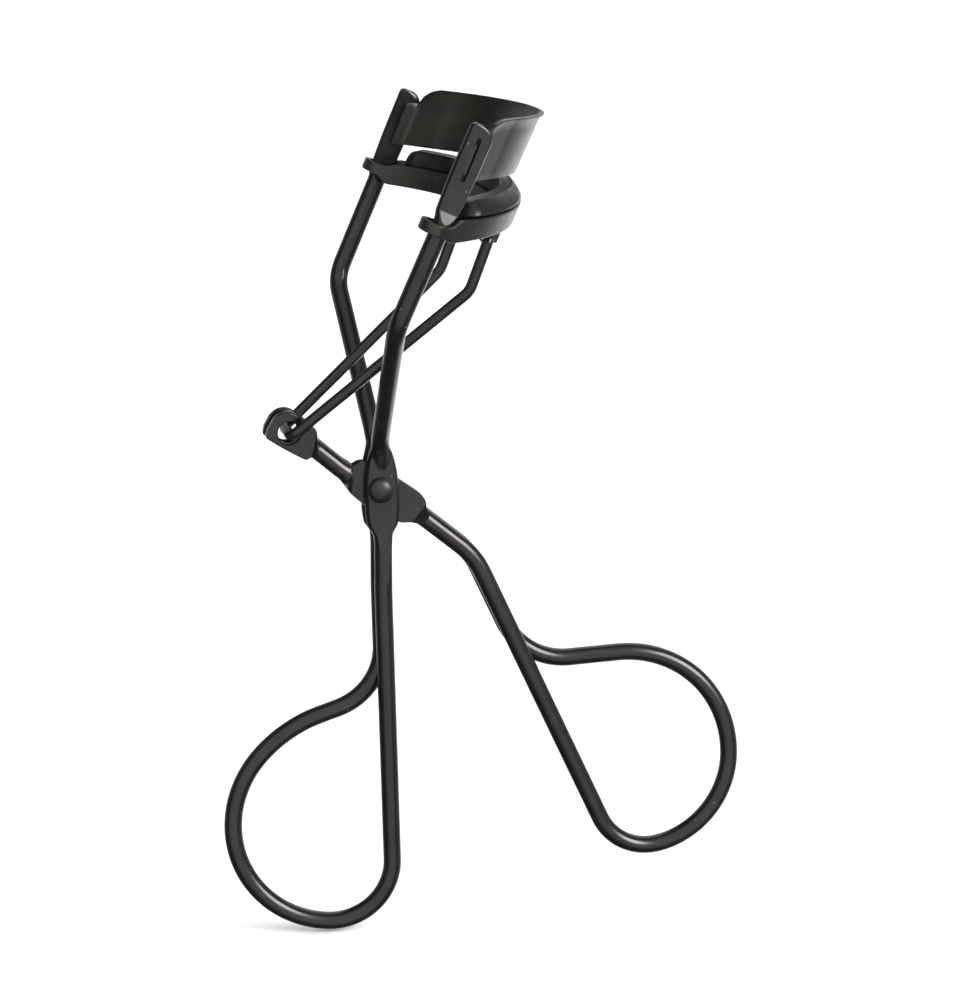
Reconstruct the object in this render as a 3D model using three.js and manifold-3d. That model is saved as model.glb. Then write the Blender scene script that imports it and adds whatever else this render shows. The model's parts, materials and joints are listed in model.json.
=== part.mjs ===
// Eyelash curler of bent wire: two wire handles that cross at a rivet, a fixed upper jaw between the
// frame's uprights, and a lower jaw with a silicone pad that a push link slides up and down them.
// Units are millimetres, +Z is up, and the origin is the centre of the whole object's box.
import * as THREE from 'three';
import { mergeVertices } from 'three/addons/utils/BufferGeometryUtils.js';
import Module from 'manifold-3d';

const wasm = await Module();
wasm.setup();

// ---- driving dimensions: the assembly is laid out from the rivet's centre ----
const RIVET_AT = new THREE.Vector3(-13.57, 0, 5.66);
const WIRE = 2.4;
const STRAND_Y = 1.25;
const WIRE_SIDES = 12;
const FLAT_EDGE = 0.45;

// The frame's uprights: neck, elbow and tip, the pressed flat below the tip and the slot through it
const ELBOW = new THREE.Vector3(-0.85, 18.9, 24.6);
const TIP = new THREE.Vector3(10.4, 19.7, 49.3);
const NECK = new THREE.Vector3(0.1, 2.3, 7.0);
const ELBOW_BEND = 5;
const NECK_BEND = 6;
const TIP_FLAT = { wide: 3.4, narrow: 3.0, thick: 1.3, length: 11.8, ramp: 1.6 };
const SLOT = { low: 18.9, high: 24.9, wide: 0.9, forward: 0.5 };

// The head's own frame: its origin in the assembly, and how far it leans forward
const HEAD = { x: -0.8, z: 25.2, lean: 24.1 };

// The pivot plates pressed in both wires, and the rivet through them
const FRAME_PLATE = { x: 0.25, inner: 1.1, thick: 0.9, landThick: 0.94 };
const LEVER_PLATE = { inner: 0.1, thick: 0.8 };
const RIVET = { shank: 1.1, head: 1.65, dome: 0.85, seat: 2.12 };
const RIVET_HOLE = 1.25;

// The frame's finger loop hangs from a vertical leg, the lever's from a sloping one
const FRAME_LEG = { x: 0.05, top: -11, bottom: -51.6 };
const FRAME_LOOP = { bends: [98, 126, 31], radii: [8, 14, 18.5], back: 8.4 };
const LEVER_LOOP = { bends: [75, 80, 92], radii: [8, 12.2, 15.3], back: 9.9 };
const LEVER_LEG_END = new THREE.Vector3(29.3, 0, -49.0);
const LEVER_SHOULDER = new THREE.Vector3(12.5, 0, -10.2);
const SHOULDER_BEND = 12;

// The lever's rear arm ends in two ears whose holes hold the push link
const EAR_HOLE_AT = new THREE.Vector3(-11.7, 0, 8.5);
const EAR = { wide: 4.8, thick: 1.0, y: 1.2, hole: 1.45 };

// The push link: thin wire from the ear holes to the lugs under the lower jaw
const LINK_WIRE = 1.45;
const LINK_SPREAD = 8.1;
const LINK_ELBOW = new THREE.Vector3(11.05, LINK_SPREAD, 26.6);
const LINK_FOOT = new THREE.Vector3(-11.6, 2.8, 8.3);
const LINK_HOOK_Y = 5.9;

// The jaws are bowed in plan, about centres behind the uprights, and all their edges rise
// forward. Heights are along the uprights, at the uprights' line.
const EDGE_RISE = 0.346;
const UPPER = {
  centre: -9.3, radius: 20.8, bowEnd: 46, tabY: 18.35, tabFront: 2.1, tabBack: -0.3,
  thick: 0.7, low: 18.65, high: 26.6, flare: 0.7, corner: 2.4, cornerDrop: 1.1,
};
const STAKE = { y: 19.3, length: 2.2, clear: 0.35, endClear: 0.5 };
const LOWER = {
  centre: -9.55, radius: 21.6, half: 1.7, thick: 0.55, turn: 0.1,
  low: 11.75, high: 14.65, guideLow: 12.8, guideHigh: 14.25,
  growFrom: 0.7, growTo: 2.4, floor: 0.6, floorUp: 0.1, floorPastPad: 4,
};
const PAD = {
  stem: 1.2, head: 1.85, low: 12.75, seat: 14.85, side: 15.65, high: 17.0, shoulder: 0.35, end: 48.5,
};
const LUG = {
  forward: 10.0, up: 13.5, inner: 6.2, outer: 6.9, hole: 0.85,
  back: 1.15, front: 1.5, drop: 1.15, sink: 0.4,
};

// The lower jaw is loose on the uprights and hangs tipped, its far end higher than its near one
const JAW_TIP = { roll: 3.8, about: 13.5, raise: 0.4 };

// ---- small helpers ----
const radians = THREE.MathUtils.degToRad;
const Y_AXIS = new THREE.Vector3(0, 1, 0);

const mirrored = (point) => new THREE.Vector3(point.x, -point.y, point.z);

// A station is a place along a wire with the size of its section there: edge 1 is an ellipse,
// and a smaller edge a flatter, squarer section
function station(at, wide = WIRE, thick = wide, edge = 1) {
  return { at: at.clone(), wide, thick, edge };
}

// Places along an arc that rounds the corner between three points
function roundedCorner(before, corner, after, radius, stepDegrees = 14) {
  const back = before.clone().sub(corner).normalize();
  const ahead = after.clone().sub(corner).normalize();
  const turn = Math.PI - back.angleTo(ahead);
  const reach = radius * Math.tan(turn / 2);
  const start = corner.clone().addScaledVector(back, reach);
  const end = corner.clone().addScaledVector(ahead, reach);
  const centre = back.clone().add(ahead).normalize()
    .multiplyScalar(radius / Math.cos(turn / 2)).add(corner);
  const steps = Math.max(2, Math.ceil(THREE.MathUtils.radToDeg(turn) / stepDegrees));
  const from = start.clone().sub(centre);
  const to = end.clone().sub(centre);
  const places = [];
  for (let i = 0; i <= steps; i += 1) {
    const share = i / steps;
    const a = Math.sin((1 - share) * turn) / Math.sin(turn);
    const b = Math.sin(share * turn) / Math.sin(turn);
    places.push(centre.clone().addScaledVector(from, a).addScaledVector(to, b));
  }
  return places;
}

// A finger loop in its own plane: u away from the leg, v up. It leaves the leg going down, bends
// three times, runs straight and bends back until it is in line with the leg again.
function fingerLoop({ bends, radii, back }, stepDegrees = 12) {
  const places = [{ u: 0, v: 0 }];
  let heading = 0;
  let u = 0;
  let v = 0;
  const bend = (radius, degrees) => {
    const steps = Math.ceil(Math.abs(degrees) / stepDegrees);
    const side = Math.sign(degrees);
    const first = heading;
    const u0 = u;
    const v0 = v;
    for (let i = 1; i <= steps; i += 1) {
      heading = first + radians(degrees) * (i / steps);
      u = u0 + side * radius * (Math.cos(first) - Math.cos(heading));
      v = v0 - side * radius * (Math.sin(heading) - Math.sin(first));
      places.push({ u, v });
    }
  };
  bends.forEach((degrees, i) => bend(radii[i], degrees));
  const returnBend = THREE.MathUtils.radToDeg(heading) - 180;
  const left = u + back * (-1 - Math.cos(heading));
  const straight = -left / Math.sin(heading);
  u += straight * Math.sin(heading);
  v -= straight * Math.cos(heading);
  places.push({ u, v });
  bend(back, -returnBend);
  return places;
}

// The loop starts on the near strand's side and is over on the far strand's before its last bend
const LAST_BEND_PLACES = 6;
function crossing(loop, i) {
  const share = Math.min(i / (loop.length - LAST_BEND_PLACES), 1);
  return STRAND_Y * (2 * THREE.MathUtils.smoothstep(share, 0, 1) - 1);
}

// Section outline: points round a squared ellipse, none of them on its axes, so that the widest
// faces are flat
function sectionOutline(wide, thick, edge, sides) {
  const points = [];
  const power = (value) => Math.sign(value) * Math.abs(value) ** edge;
  for (let i = 0; i < sides; i += 1) {
    const angle = ((i + 0.5) / sides) * 2 * Math.PI;
    points.push([(power(Math.cos(angle)) * wide) / 2, (power(Math.sin(angle)) * thick) / 2]);
  }
  return points;
}

// Rings of points round a wire; its pressed flats are thin along thinAxis
function wireRings(stations, thinAxis, sides) {
  return stations.map((here, i) => {
    const previous = stations[Math.max(i - 1, 0)].at;
    const next = stations[Math.min(i + 1, stations.length - 1)].at;
    const along = next.clone().sub(previous).normalize();
    const thin = thinAxis.clone().addScaledVector(along, -thinAxis.dot(along)).normalize();
    const wide = thin.clone().cross(along);
    return sectionOutline(here.wide, here.thick, here.edge, sides).map(([a, b]) =>
      here.at.clone().addScaledVector(wide, a).addScaledVector(thin, b));
  });
}

// A closed skin over rings of points. Open runs get end faces, fanned from each end's middle.
function skin(rings, loops = false) {
  const count = rings[0].length;
  const points = rings.flat();
  const index = [];
  const last = loops ? rings.length : rings.length - 1;
  for (let i = 0; i < last; i += 1) {
    const here = i * count;
    const next = ((i + 1) % rings.length) * count;
    for (let j = 0; j < count; j += 1) {
      const k = (j + 1) % count;
      index.push(here + j, here + k, next + k);
      index.push(here + j, next + k, next + j);
    }
  }
  if (!loops) {
    const tail = (rings.length - 1) * count;
    const middle = (ring) => ring.reduce((sum, p) => sum.add(p), new THREE.Vector3())
      .divideScalar(count);
    const startMiddle = points.push(middle(rings[0])) - 1;
    const endMiddle = points.push(middle(rings.at(-1))) - 1;
    for (let j = 0; j < count; j += 1) {
      const k = (j + 1) % count;
      index.push(startMiddle, k, j);
      index.push(endMiddle, tail + j, tail + k);
    }
  }
  const geometry = new THREE.BufferGeometry().setFromPoints(points);
  geometry.setIndex(index);
  return geometry;
}

function toSolid(geometry) {
  const bare = geometry.clone();
  bare.deleteAttribute('normal');
  bare.deleteAttribute('uv');
  const merged = mergeVertices(bare, 1e-5);
  return new wasm.Manifold(new wasm.Mesh({
    numProp: 3,
    vertProperties: new Float32Array(merged.attributes.position.array),
    triVerts: new Uint32Array(merged.index.array),
  }));
}

function toGeometry(solid) {
  const mesh = solid.getMesh();
  const geometry = new THREE.BufferGeometry();
  geometry.setAttribute('position', new THREE.BufferAttribute(mesh.vertProperties, 3));
  geometry.setIndex(new THREE.BufferAttribute(mesh.triVerts, 1));
  return geometry;
}

// A drill along Y through a point
function drillAt(point, radius, length = 60) {
  const drill = new THREE.CylinderGeometry(radius, radius, length, 16);
  drill.translate(point.x, point.y, point.z);
  return toSolid(drill);
}

// The head's frame: x forward from the uprights, y across, z up along them
const headFrame = new THREE.Matrix4().makeRotationY(radians(HEAD.lean)).setPosition(HEAD.x, 0, HEAD.z);
const inHead = (forward, across, up) => new THREE.Vector3(forward, across, up).applyMatrix4(headFrame);

// The lower jaw's frame: the head's, tipped about its forward axis
const jawFrame = headFrame.clone()
  .multiply(new THREE.Matrix4().makeTranslation(0, 0, JAW_TIP.about + JAW_TIP.raise))
  .multiply(new THREE.Matrix4().makeRotationX(radians(JAW_TIP.roll)))
  .multiply(new THREE.Matrix4().makeTranslation(0, 0, -JAW_TIP.about));
const inJaw = (forward, across, up) => new THREE.Vector3(forward, across, up).applyMatrix4(jawFrame);

// ---- frame wire: tip, upright, pivot plate, leg, finger loop and back up the other side ----
function tipStations() {
  const up = TIP.clone().sub(ELBOW);
  const length = up.length();
  up.normalize();
  const at = (fromTip) => ELBOW.clone().addScaledVector(up, length - fromTip);
  const { wide, narrow, thick, length: flat, ramp } = TIP_FLAT;
  const stations = [14, 36, 60, 90].map((degrees) => {
    const angle = radians(degrees);
    return station(at((wide / 2) * (1 - Math.cos(angle))), wide * Math.sin(angle), thick, FLAT_EDGE);
  });
  stations.push(station(at(flat), narrow, thick, FLAT_EDGE));
  stations.push(station(at(flat + ramp)));
  return stations;
}

function plateStations() {
  // height, width and thickness down the leaf-shaped plate, whose inner face stays flat and which
  // has one clear land below the rivet
  const rows = [
    [4.6, 3.1, 2.3],
    [2.4, 4.3, FRAME_PLATE.thick],
    [0, 4.6, FRAME_PLATE.thick],
    [-2.3, 4.55, FRAME_PLATE.landThick],
    [-4.5, 4.1, FRAME_PLATE.landThick],
    [-6.3, 3.0, 1.1],
  ];
  return rows.map(([height, wide, thick]) => {
    const place = new THREE.Vector3(FRAME_PLATE.x, FRAME_PLATE.inner + thick / 2, height);
    return station(place, wide, thick, FLAT_EDGE);
  });
}

function frameWire() {
  const legTop = new THREE.Vector3(FRAME_LEG.x, STRAND_Y, FRAME_LEG.top);
  const plate = plateStations();
  const elbow = roundedCorner(TIP, ELBOW, NECK, ELBOW_BEND).map((p) => station(p));
  const neck = roundedCorner(ELBOW, NECK, plate[0].at, NECK_BEND).map((p) => station(p));
  const farStrand = [...tipStations(), ...elbow, ...neck, ...plate, station(legTop)];
  const nearStrand = farStrand.map((s) => ({ ...s, at: mirrored(s.at) }));

  const loop = fingerLoop(FRAME_LOOP);
  const lowered = loop.map(({ u, v }, i) => (
    station(new THREE.Vector3(FRAME_LEG.x - u, crossing(loop, i), FRAME_LEG.bottom + v))));
  const wire = toSolid(skin(wireRings([...nearStrand, ...lowered, ...farStrand.toReversed()],
    Y_AXIS, WIRE_SIDES)));

  const slot = new THREE.BoxGeometry(SLOT.wide, 60, SLOT.high - SLOT.low);
  slot.translate(SLOT.forward, 0, (SLOT.high + SLOT.low) / 2);
  slot.applyMatrix4(headFrame);
  return toGeometry(wire.subtract(toSolid(slot)).subtract(drillAt(new THREE.Vector3(), RIVET_HOLE)));
}

// ---- lever wire: ear, rear arm, pivot plate, front arm, finger loop and back again ----
function leverWire() {
  const plan = (x, z, y, wide, thick, edge) => station(new THREE.Vector3(x, y, z), wide, thick, edge);
  const plateY = LEVER_PLATE.inner + LEVER_PLATE.thick / 2;
  const ears = [
    plan(-14.1, 9.5, EAR.y, 2.6, EAR.thick, FLAT_EDGE),
    plan(-13.5, 9.2, EAR.y, 4.2, EAR.thick, FLAT_EDGE),
    plan(-12.6, 8.7, EAR.y, EAR.wide, EAR.thick, FLAT_EDGE),
    plan(-8.9, 6.5, EAR.y, 4.1, EAR.thick, FLAT_EDGE),
    plan(-8.1, 5.95, STRAND_Y, WIRE, WIRE, 1),
  ];
  const arm = [
    plan(-5.0, 3.05, STRAND_Y, WIRE, WIRE, 1),
    plan(-3.5, 2.1, plateY, 3.9, LEVER_PLATE.thick, FLAT_EDGE),
    plan(0, -0.2, plateY, 4.7, LEVER_PLATE.thick, FLAT_EDGE),
    plan(4.6, -3.3, plateY, 3.8, LEVER_PLATE.thick, FLAT_EDGE),
    plan(6.4, -4.7, STRAND_Y, WIRE, WIRE, 1),
  ];
  const shoulder = LEVER_SHOULDER.clone().setY(STRAND_Y);
  const legEnd = LEVER_LEG_END.clone().setY(STRAND_Y);
  const bend = roundedCorner(arm.at(-1).at, shoulder, legEnd, SHOULDER_BEND, 9).map((p) => station(p));
  const farStrand = [...ears, ...arm, ...bend];
  const nearStrand = farStrand.map((s) => ({ ...s, at: mirrored(s.at) }));

  const down = LEVER_LEG_END.clone().sub(LEVER_SHOULDER).normalize();
  const away = Y_AXIS.clone().cross(down).negate();
  const loop = fingerLoop(LEVER_LOOP);
  const lowered = loop.map(({ u, v }, i) => {
    const place = LEVER_LEG_END.clone().addScaledVector(away, u).addScaledVector(down, -v);
    return station(place.setY(crossing(loop, i)));
  });
  const wire = toSolid(skin(wireRings([...nearStrand, ...lowered, ...farStrand.toReversed()],
    Y_AXIS, WIRE_SIDES)));
  return toGeometry(wire.subtract(drillAt(new THREE.Vector3(), RIVET_HOLE))
    .subtract(drillAt(EAR_HOLE_AT, EAR.hole)));
}

// ---- push link ----
function linkWire() {
  const lug = inHead(LUG.forward, LINK_SPREAD, LUG.up);
  const corners = [
    new THREE.Vector3(lug.x, LINK_HOOK_Y, lug.z),
    lug,
    LINK_ELBOW,
    LINK_FOOT,
  ];
  const foot = LINK_FOOT.clone().setY(0);
  const far = [
    corners[0],
    ...roundedCorner(corners[0], corners[1], corners[2], 1.0, 30),
    ...roundedCorner(corners[1], corners[2], corners[3], 3.0, 14),
    ...roundedCorner(corners[2], corners[3], foot, 1.3, 22),
  ];
  const near = far.map(mirrored).toReversed();
  const stations = [...far, foot, ...near].map((p) => station(p, LINK_WIRE));
  const upAndBack = LINK_FOOT.clone().sub(LINK_ELBOW).setY(0).cross(Y_AXIS).normalize();
  return skin(wireRings(stations, upAndBack, 10));
}

// ---- upper jaw: a bowed band whose tabs are staked through the slots of the uprights ----
function upperJaw() {
  const segments = 22;
  const bowEnd = radians(UPPER.bowEnd);
  const bow = [];
  for (let i = 0; i <= segments; i += 1) {
    const angle = bowEnd * ((2 * i) / segments - 1);
    bow.push({
      angle,
      forward: UPPER.centre + UPPER.radius * Math.cos(angle),
      across: UPPER.radius * Math.sin(angle),
    });
  }
  // Between the bow and the tab's bend the sheet runs straight, and its top corner is rounded
  const last = bow.at(-1);
  const tabEnd = (side) => {
    const run = [];
    for (const share of [0.35, 0.7, 1]) {
      run.push({
        angle: side * (share < 1 ? bowEnd : radians(70)),
        forward: THREE.MathUtils.lerp(last.forward, UPPER.tabFront, share),
        across: side * THREE.MathUtils.lerp(last.across, UPPER.tabY, share),
      });
    }
    run.push({ angle: side * radians(90), forward: UPPER.tabFront - 1, across: side * UPPER.tabY });
    run.push({ angle: side * radians(90), forward: UPPER.tabBack, across: side * UPPER.tabY });
    return run;
  };
  const places = [...tabEnd(-1).toReversed(), ...bow, ...tabEnd(1)];
  const cornerFront = UPPER.tabFront + UPPER.corner;
  const rings = places.map(({ angle, forward, across }) => {
    const intoCorner = THREE.MathUtils.clamp((cornerFront - forward) / UPPER.corner, 0, 1);
    const drop = UPPER.cornerDrop * (1 - Math.sqrt(1 - intoCorner ** 2));
    const flare = UPPER.flare * Math.cos(angle) ** 2;
    const corner = (side, up, lean) => inHead(
      forward + side * Math.cos(angle) + lean,
      across + side * Math.sin(angle),
      up + EDGE_RISE * forward,
    );
    const half = UPPER.thick / 2;
    const top = UPPER.high - drop;
    return [
      corner(-half, top, flare),
      corner(half, top, flare),
      corner(half, UPPER.low, 0),
      corner(-half, UPPER.low, 0),
    ];
  });
  let jaw = toSolid(skin(rings));
  for (const side of [-1, 1]) {
    const slotLength = SLOT.high - SLOT.low;
    const tab = new THREE.BoxGeometry(SLOT.wide - STAKE.clear, STAKE.length, slotLength - STAKE.endClear);
    tab.translate(SLOT.forward, side * STAKE.y, (SLOT.high + SLOT.low) / 2);
    tab.applyMatrix4(headFrame);
    jaw = jaw.add(toSolid(tab));
  }
  return toGeometry(jaw);
}

// ---- lower jaw: a closed crescent of strip round both uprights, with a floor and two lugs ----
function lowerJaw() {
  const outerRadius = LOWER.radius + LOWER.half;
  const innerRadius = LOWER.radius - LOWER.half;
  const endAngle = (radius) => Math.acos((LOWER.turn - LOWER.centre) / radius);
  const outerEnd = endAngle(outerRadius);
  const innerEnd = endAngle(innerRadius);
  const outerY = outerRadius * Math.sin(outerEnd);
  const innerY = innerRadius * Math.sin(innerEnd);
  const turnRadius = (outerY - innerY) / 2;
  const turnY = (outerY + innerY) / 2;
  const places = [];
  const arc = (radius, from, to, steps, outward) => {
    for (let i = 0; i <= steps; i += 1) {
      const angle = from + (to - from) * (i / steps);
      places.push({
        forward: LOWER.centre + radius * Math.cos(angle),
        across: radius * Math.sin(angle),
        outForward: outward * Math.cos(angle),
        outAcross: outward * Math.sin(angle),
      });
    }
  };
  const turn = (side) => {
    const steps = 6;
    for (let i = 1; i < steps; i += 1) {
      const angle = Math.PI * (side > 0 ? i / steps : 1 - i / steps);
      const outForward = -Math.sin(angle);
      const outAcross = side * Math.cos(angle);
      places.push({
        forward: LOWER.turn + turnRadius * outForward,
        across: side * turnY + turnRadius * outAcross,
        outForward,
        outAcross,
      });
    }
  };
  arc(outerRadius, -outerEnd, outerEnd, 24, 1);
  turn(1);
  arc(innerRadius, innerEnd, -innerEnd, 20, -1);
  turn(-1);
  const half = LOWER.thick / 2;
  const rings = places.map(({ forward, across, outForward, outAcross }) => {
    // the strip is low round the uprights and grows to the channel's full height in front
    const growth = THREE.MathUtils.smoothstep(forward, LOWER.growFrom, LOWER.growTo);
    const high = THREE.MathUtils.lerp(LOWER.guideHigh, LOWER.high + EDGE_RISE * forward, growth);
    const low = THREE.MathUtils.lerp(LOWER.guideLow, LOWER.low + EDGE_RISE * forward, growth);
    const corner = (side, up) => inJaw(forward + side * outForward, across + side * outAcross, up);
    return [corner(-half, high), corner(half, high), corner(half, low), corner(-half, low)];
  });
  let jaw = toSolid(skin(rings, true));

  const floorEnd = radians(PAD.end + LOWER.floorPastPad);
  const floor = new THREE.Shape();
  floor.absarc(LOWER.centre, 0, outerRadius, -floorEnd, floorEnd, false);
  floor.absarc(LOWER.centre, 0, innerRadius, floorEnd, -floorEnd, true);
  const floorPlate = new THREE.ExtrudeGeometry(floor, {
    depth: LOWER.floor,
    bevelEnabled: false,
    curveSegments: 20,
  });
  floorPlate.translate(0, 0, LOWER.low + LOWER.floorUp);
  floorPlate.applyMatrix4(new THREE.Matrix4().set(1, 0, 0, 0, 0, 1, 0, 0, EDGE_RISE, 0, 1, 0, 0, 0, 0, 1));
  floorPlate.applyMatrix4(jawFrame);
  jaw = jaw.add(toSolid(floorPlate));

  // The tipped lugs are each placed round the level hole that both share
  const lugTop = LOWER.low + EDGE_RISE * LUG.forward + LUG.sink;
  const toJaw = jawFrame.clone().invert();
  for (const side of [-1, 1]) {
    const hole = inHead(LUG.forward, (side * (LUG.outer + LUG.inner)) / 2, LUG.up).applyMatrix4(toJaw);
    const lugLow = hole.z - LUG.drop;
    const lug = new THREE.BoxGeometry(LUG.back + LUG.front, LUG.outer - LUG.inner, lugTop - lugLow);
    lug.translate(hole.x + (LUG.front - LUG.back) / 2, hole.y, (lugTop + lugLow) / 2);
    lug.applyMatrix4(jawFrame);
    jaw = jaw.add(toSolid(lug));
  }
  return toGeometry(jaw.subtract(drillAt(inHead(LUG.forward, 0, LUG.up), LUG.hole)));
}

// ---- lash pad: a moulded strip with a stem in the channel and a rounded head above it ----
function lashPad() {
  const outline = [
    [-PAD.stem, PAD.low],
    [-PAD.stem, PAD.seat],
    [-PAD.head, PAD.seat],
    [-PAD.head, PAD.side],
    [-PAD.head * 0.75, PAD.high - PAD.shoulder],
    [-PAD.head * 0.3, PAD.high],
    [PAD.head * 0.3, PAD.high],
    [PAD.head * 0.75, PAD.high - PAD.shoulder],
    [PAD.head, PAD.side],
    [PAD.head, PAD.seat],
    [PAD.stem, PAD.seat],
    [PAD.stem, PAD.low],
  ];
  const middle = (PAD.seat + PAD.side) / 2;
  const segments = 24;
  const end = radians(PAD.end);
  const places = [];
  for (let i = 0; i <= segments; i += 1) {
    places.push({ angle: end * ((2 * i) / segments - 1), size: 1 });
  }
  for (const degrees of [30, 55, 76]) {
    const beyond = (PAD.head * Math.sin(radians(degrees))) / LOWER.radius;
    const size = Math.cos(radians(degrees));
    places.push({ angle: end + beyond, size });
    places.unshift({ angle: -end - beyond, size });
  }
  const rings = places.map(({ angle, size }) => outline.map(([side, up]) => {
    const radius = LOWER.radius + side * size;
    const forward = LOWER.centre + radius * Math.cos(angle);
    const height = middle + (up - middle) * size + EDGE_RISE * forward;
    return inJaw(forward, radius * Math.sin(angle), height);
  }));
  return skin(rings);
}

// ---- pivot rivet, domed at both ends ----
function pivotRivet() {
  const profile = [];
  const domeSteps = 4;
  const dome = (step) => {
    const angle = (step / domeSteps) * (Math.PI / 2);
    return [RIVET.head * Math.sin(angle), RIVET.seat + RIVET.dome * (0.15 + 0.85 * Math.cos(angle))];
  };
  for (let i = 0; i <= domeSteps; i += 1) {
    const [radius, height] = dome(i);
    profile.push(new THREE.Vector2(radius, -height));
  }
  profile.push(new THREE.Vector2(RIVET.head, -RIVET.seat));
  profile.push(new THREE.Vector2(RIVET.shank, -RIVET.seat));
  const upperHalf = profile.map((p) => new THREE.Vector2(p.x, -p.y)).toReversed();
  return new THREE.LatheGeometry([...profile, ...upperHalf], 16);
}

// ---- the assembly ----
const COATED = { color: 0x2b2b29, roughness: 0.42, metalness: 0.1 };
const curler = new THREE.Group();
const assembly = new THREE.Group();
assembly.position.copy(RIVET_AT);
curler.add(assembly);

function addPart(name, geometry, look = COATED) {
  const mesh = new THREE.Mesh(geometry, new THREE.MeshStandardMaterial(look));
  mesh.name = name;
  assembly.add(mesh);
}

addPart('frame_wire', frameWire());
addPart('lever_wire', leverWire());
addPart('push_link', linkWire());
addPart('upper_jaw', upperJaw(), { color: 0x33322f, roughness: 0.55, metalness: 0.1 });
addPart('lower_jaw', lowerJaw(), { color: 0x333230, roughness: 0.5, metalness: 0.1 });
addPart('lash_pad', lashPad(), { color: 0x1d1c1c, roughness: 0.35, metalness: 0 });
addPart('pivot_rivet', pivotRivet());

export default curler;
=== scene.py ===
"""Eyelash curler of bent wire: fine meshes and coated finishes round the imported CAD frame.

Shapes are in millimetres from the pivot rivet's centre, and become metres in the frame when a mesh is made.
"""
import json
import math

import bmesh
import bpy
import numpy as np
from mathutils import Matrix, Vector


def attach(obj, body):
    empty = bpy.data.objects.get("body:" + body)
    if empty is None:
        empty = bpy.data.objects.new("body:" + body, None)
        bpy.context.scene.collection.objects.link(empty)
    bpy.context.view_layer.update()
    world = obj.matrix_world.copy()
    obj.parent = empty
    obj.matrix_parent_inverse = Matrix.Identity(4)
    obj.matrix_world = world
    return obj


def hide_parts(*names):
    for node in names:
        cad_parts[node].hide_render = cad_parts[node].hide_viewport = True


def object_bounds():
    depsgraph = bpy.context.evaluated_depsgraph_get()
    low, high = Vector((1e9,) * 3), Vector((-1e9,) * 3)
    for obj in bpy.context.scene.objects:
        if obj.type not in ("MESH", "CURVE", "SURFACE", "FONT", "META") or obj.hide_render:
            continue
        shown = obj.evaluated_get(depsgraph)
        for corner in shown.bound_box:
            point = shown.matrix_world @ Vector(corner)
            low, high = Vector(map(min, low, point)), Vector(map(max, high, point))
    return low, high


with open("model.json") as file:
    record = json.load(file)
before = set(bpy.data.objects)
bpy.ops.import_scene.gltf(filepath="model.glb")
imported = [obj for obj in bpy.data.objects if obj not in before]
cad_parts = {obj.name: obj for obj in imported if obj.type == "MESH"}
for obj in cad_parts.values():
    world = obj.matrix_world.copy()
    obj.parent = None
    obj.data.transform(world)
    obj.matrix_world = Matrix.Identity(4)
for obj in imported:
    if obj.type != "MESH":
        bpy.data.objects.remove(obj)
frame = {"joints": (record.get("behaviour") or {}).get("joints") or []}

cad_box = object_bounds()
MM = 0.001
JOINTS = {joint["name"]: joint for joint in frame["joints"]}
RIVET_AT = np.array(JOINTS["lever_pivot"]["pos_m"]) / MM

# ---- driving dimensions: the CAD model's, with the jaws and the pad a little nearer the photo ----
WIRE = 2.4
STRAND_X = 0.2
STRAND_Y = 1.25
ELBOW = np.array([-0.85, 18.9, 24.6])
TIP = np.array([10.4, 19.7, 49.3])
NECK = np.array([0.1, 2.3, 7.0])
HEAD_AT = np.array([-0.8, 0, 25.2])
HEAD_LEAN = math.radians(24.1)
FRAME_LEG_X = 0.05
FRAME_LEG_BOTTOM = -51.6
FRAME_LOOP = {"bends": (98, 126, 31), "radii": (8, 14, 18.5), "back": 8.4}
LEVER_LOOP = {"bends": (75, 80, 92), "radii": (8, 12.2, 15.3), "back": 9.9}
LEVER_LEG_END = np.array([29.3, STRAND_Y, -49.0])
LEVER_SHOULDER = np.array([12.5, STRAND_Y, -10.2])
EAR_HOLE = {"x": -11.7, "z": 8.5, "radius": 1.45}
LINK_WIRE = 1.45
LINK_SPREAD = 8.1
LINK_ELBOW = np.array([11.05, LINK_SPREAD, 26.6])
LINK_FOOT = np.array([-11.6, 2.8, 8.3])
LINK_HOOK_Y = 5.9
EDGE_RISE = 0.346
UPPER = {"centre": -9.7, "radius": 20.8, "bow_end": 46, "tab_y": 18.35, "tab_front": 1.7, "tab_back": 0.2,
         "tab_bend": 1.0, "thick": 0.7, "low": 18.65, "high": 26.8, "corner": 1.9, "corner_drop": (1.3, 2.2),
         "lean": 0.3, "lip": 0.9, "lip_out": 0.42}
LOWER = {"centre": -10.15, "radius": 21.6, "half": 1.7, "thick": 0.55, "turn": 0.1, "low": 11.75,
         "high": 14.65, "guide_low": 12.8, "guide_high": 14.25, "inner_grows": (-0.4, 1.5),
         "outer_grows": (0.9, 2.6), "floor": 0.6, "floor_up": 0.1, "floor_past_pad": 4}
PAD = {"stem": 1.2, "head": 1.8, "low": 12.75, "seat": 14.85, "side": 15.05, "high": 16.9, "crest": 0.15,
       "inner_crest": -1.5, "dish": 0.14, "end": 48.3, "end_round": 1.8, "seat_edge": 0.1, "bulge": 0.8}
LUG = {"forward": 10.0, "up": 13.5, "inner": 6.2, "outer": 6.9, "hole": 0.85, "back": 1.15, "front": 1.5,
       "drop": 1.15, "foot": 0.45, "sink": 0.4}
RIVET = {"head": 1.7, "seat": 2.02, "edge": 0.04, "bulge_from": 0.12, "dome": 0.95, "shank": 1.1}
JAW_TIP = {"roll": math.radians(3.8), "about": 13.5, "raise": 0.4}
ACROSS = np.array([0.0, 1.0, 0.0])
MIRROR = np.array([1.0, -1.0, 1.0])
ONTO_MIDDLE = np.array([1.0, 0.0, 1.0])


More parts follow.
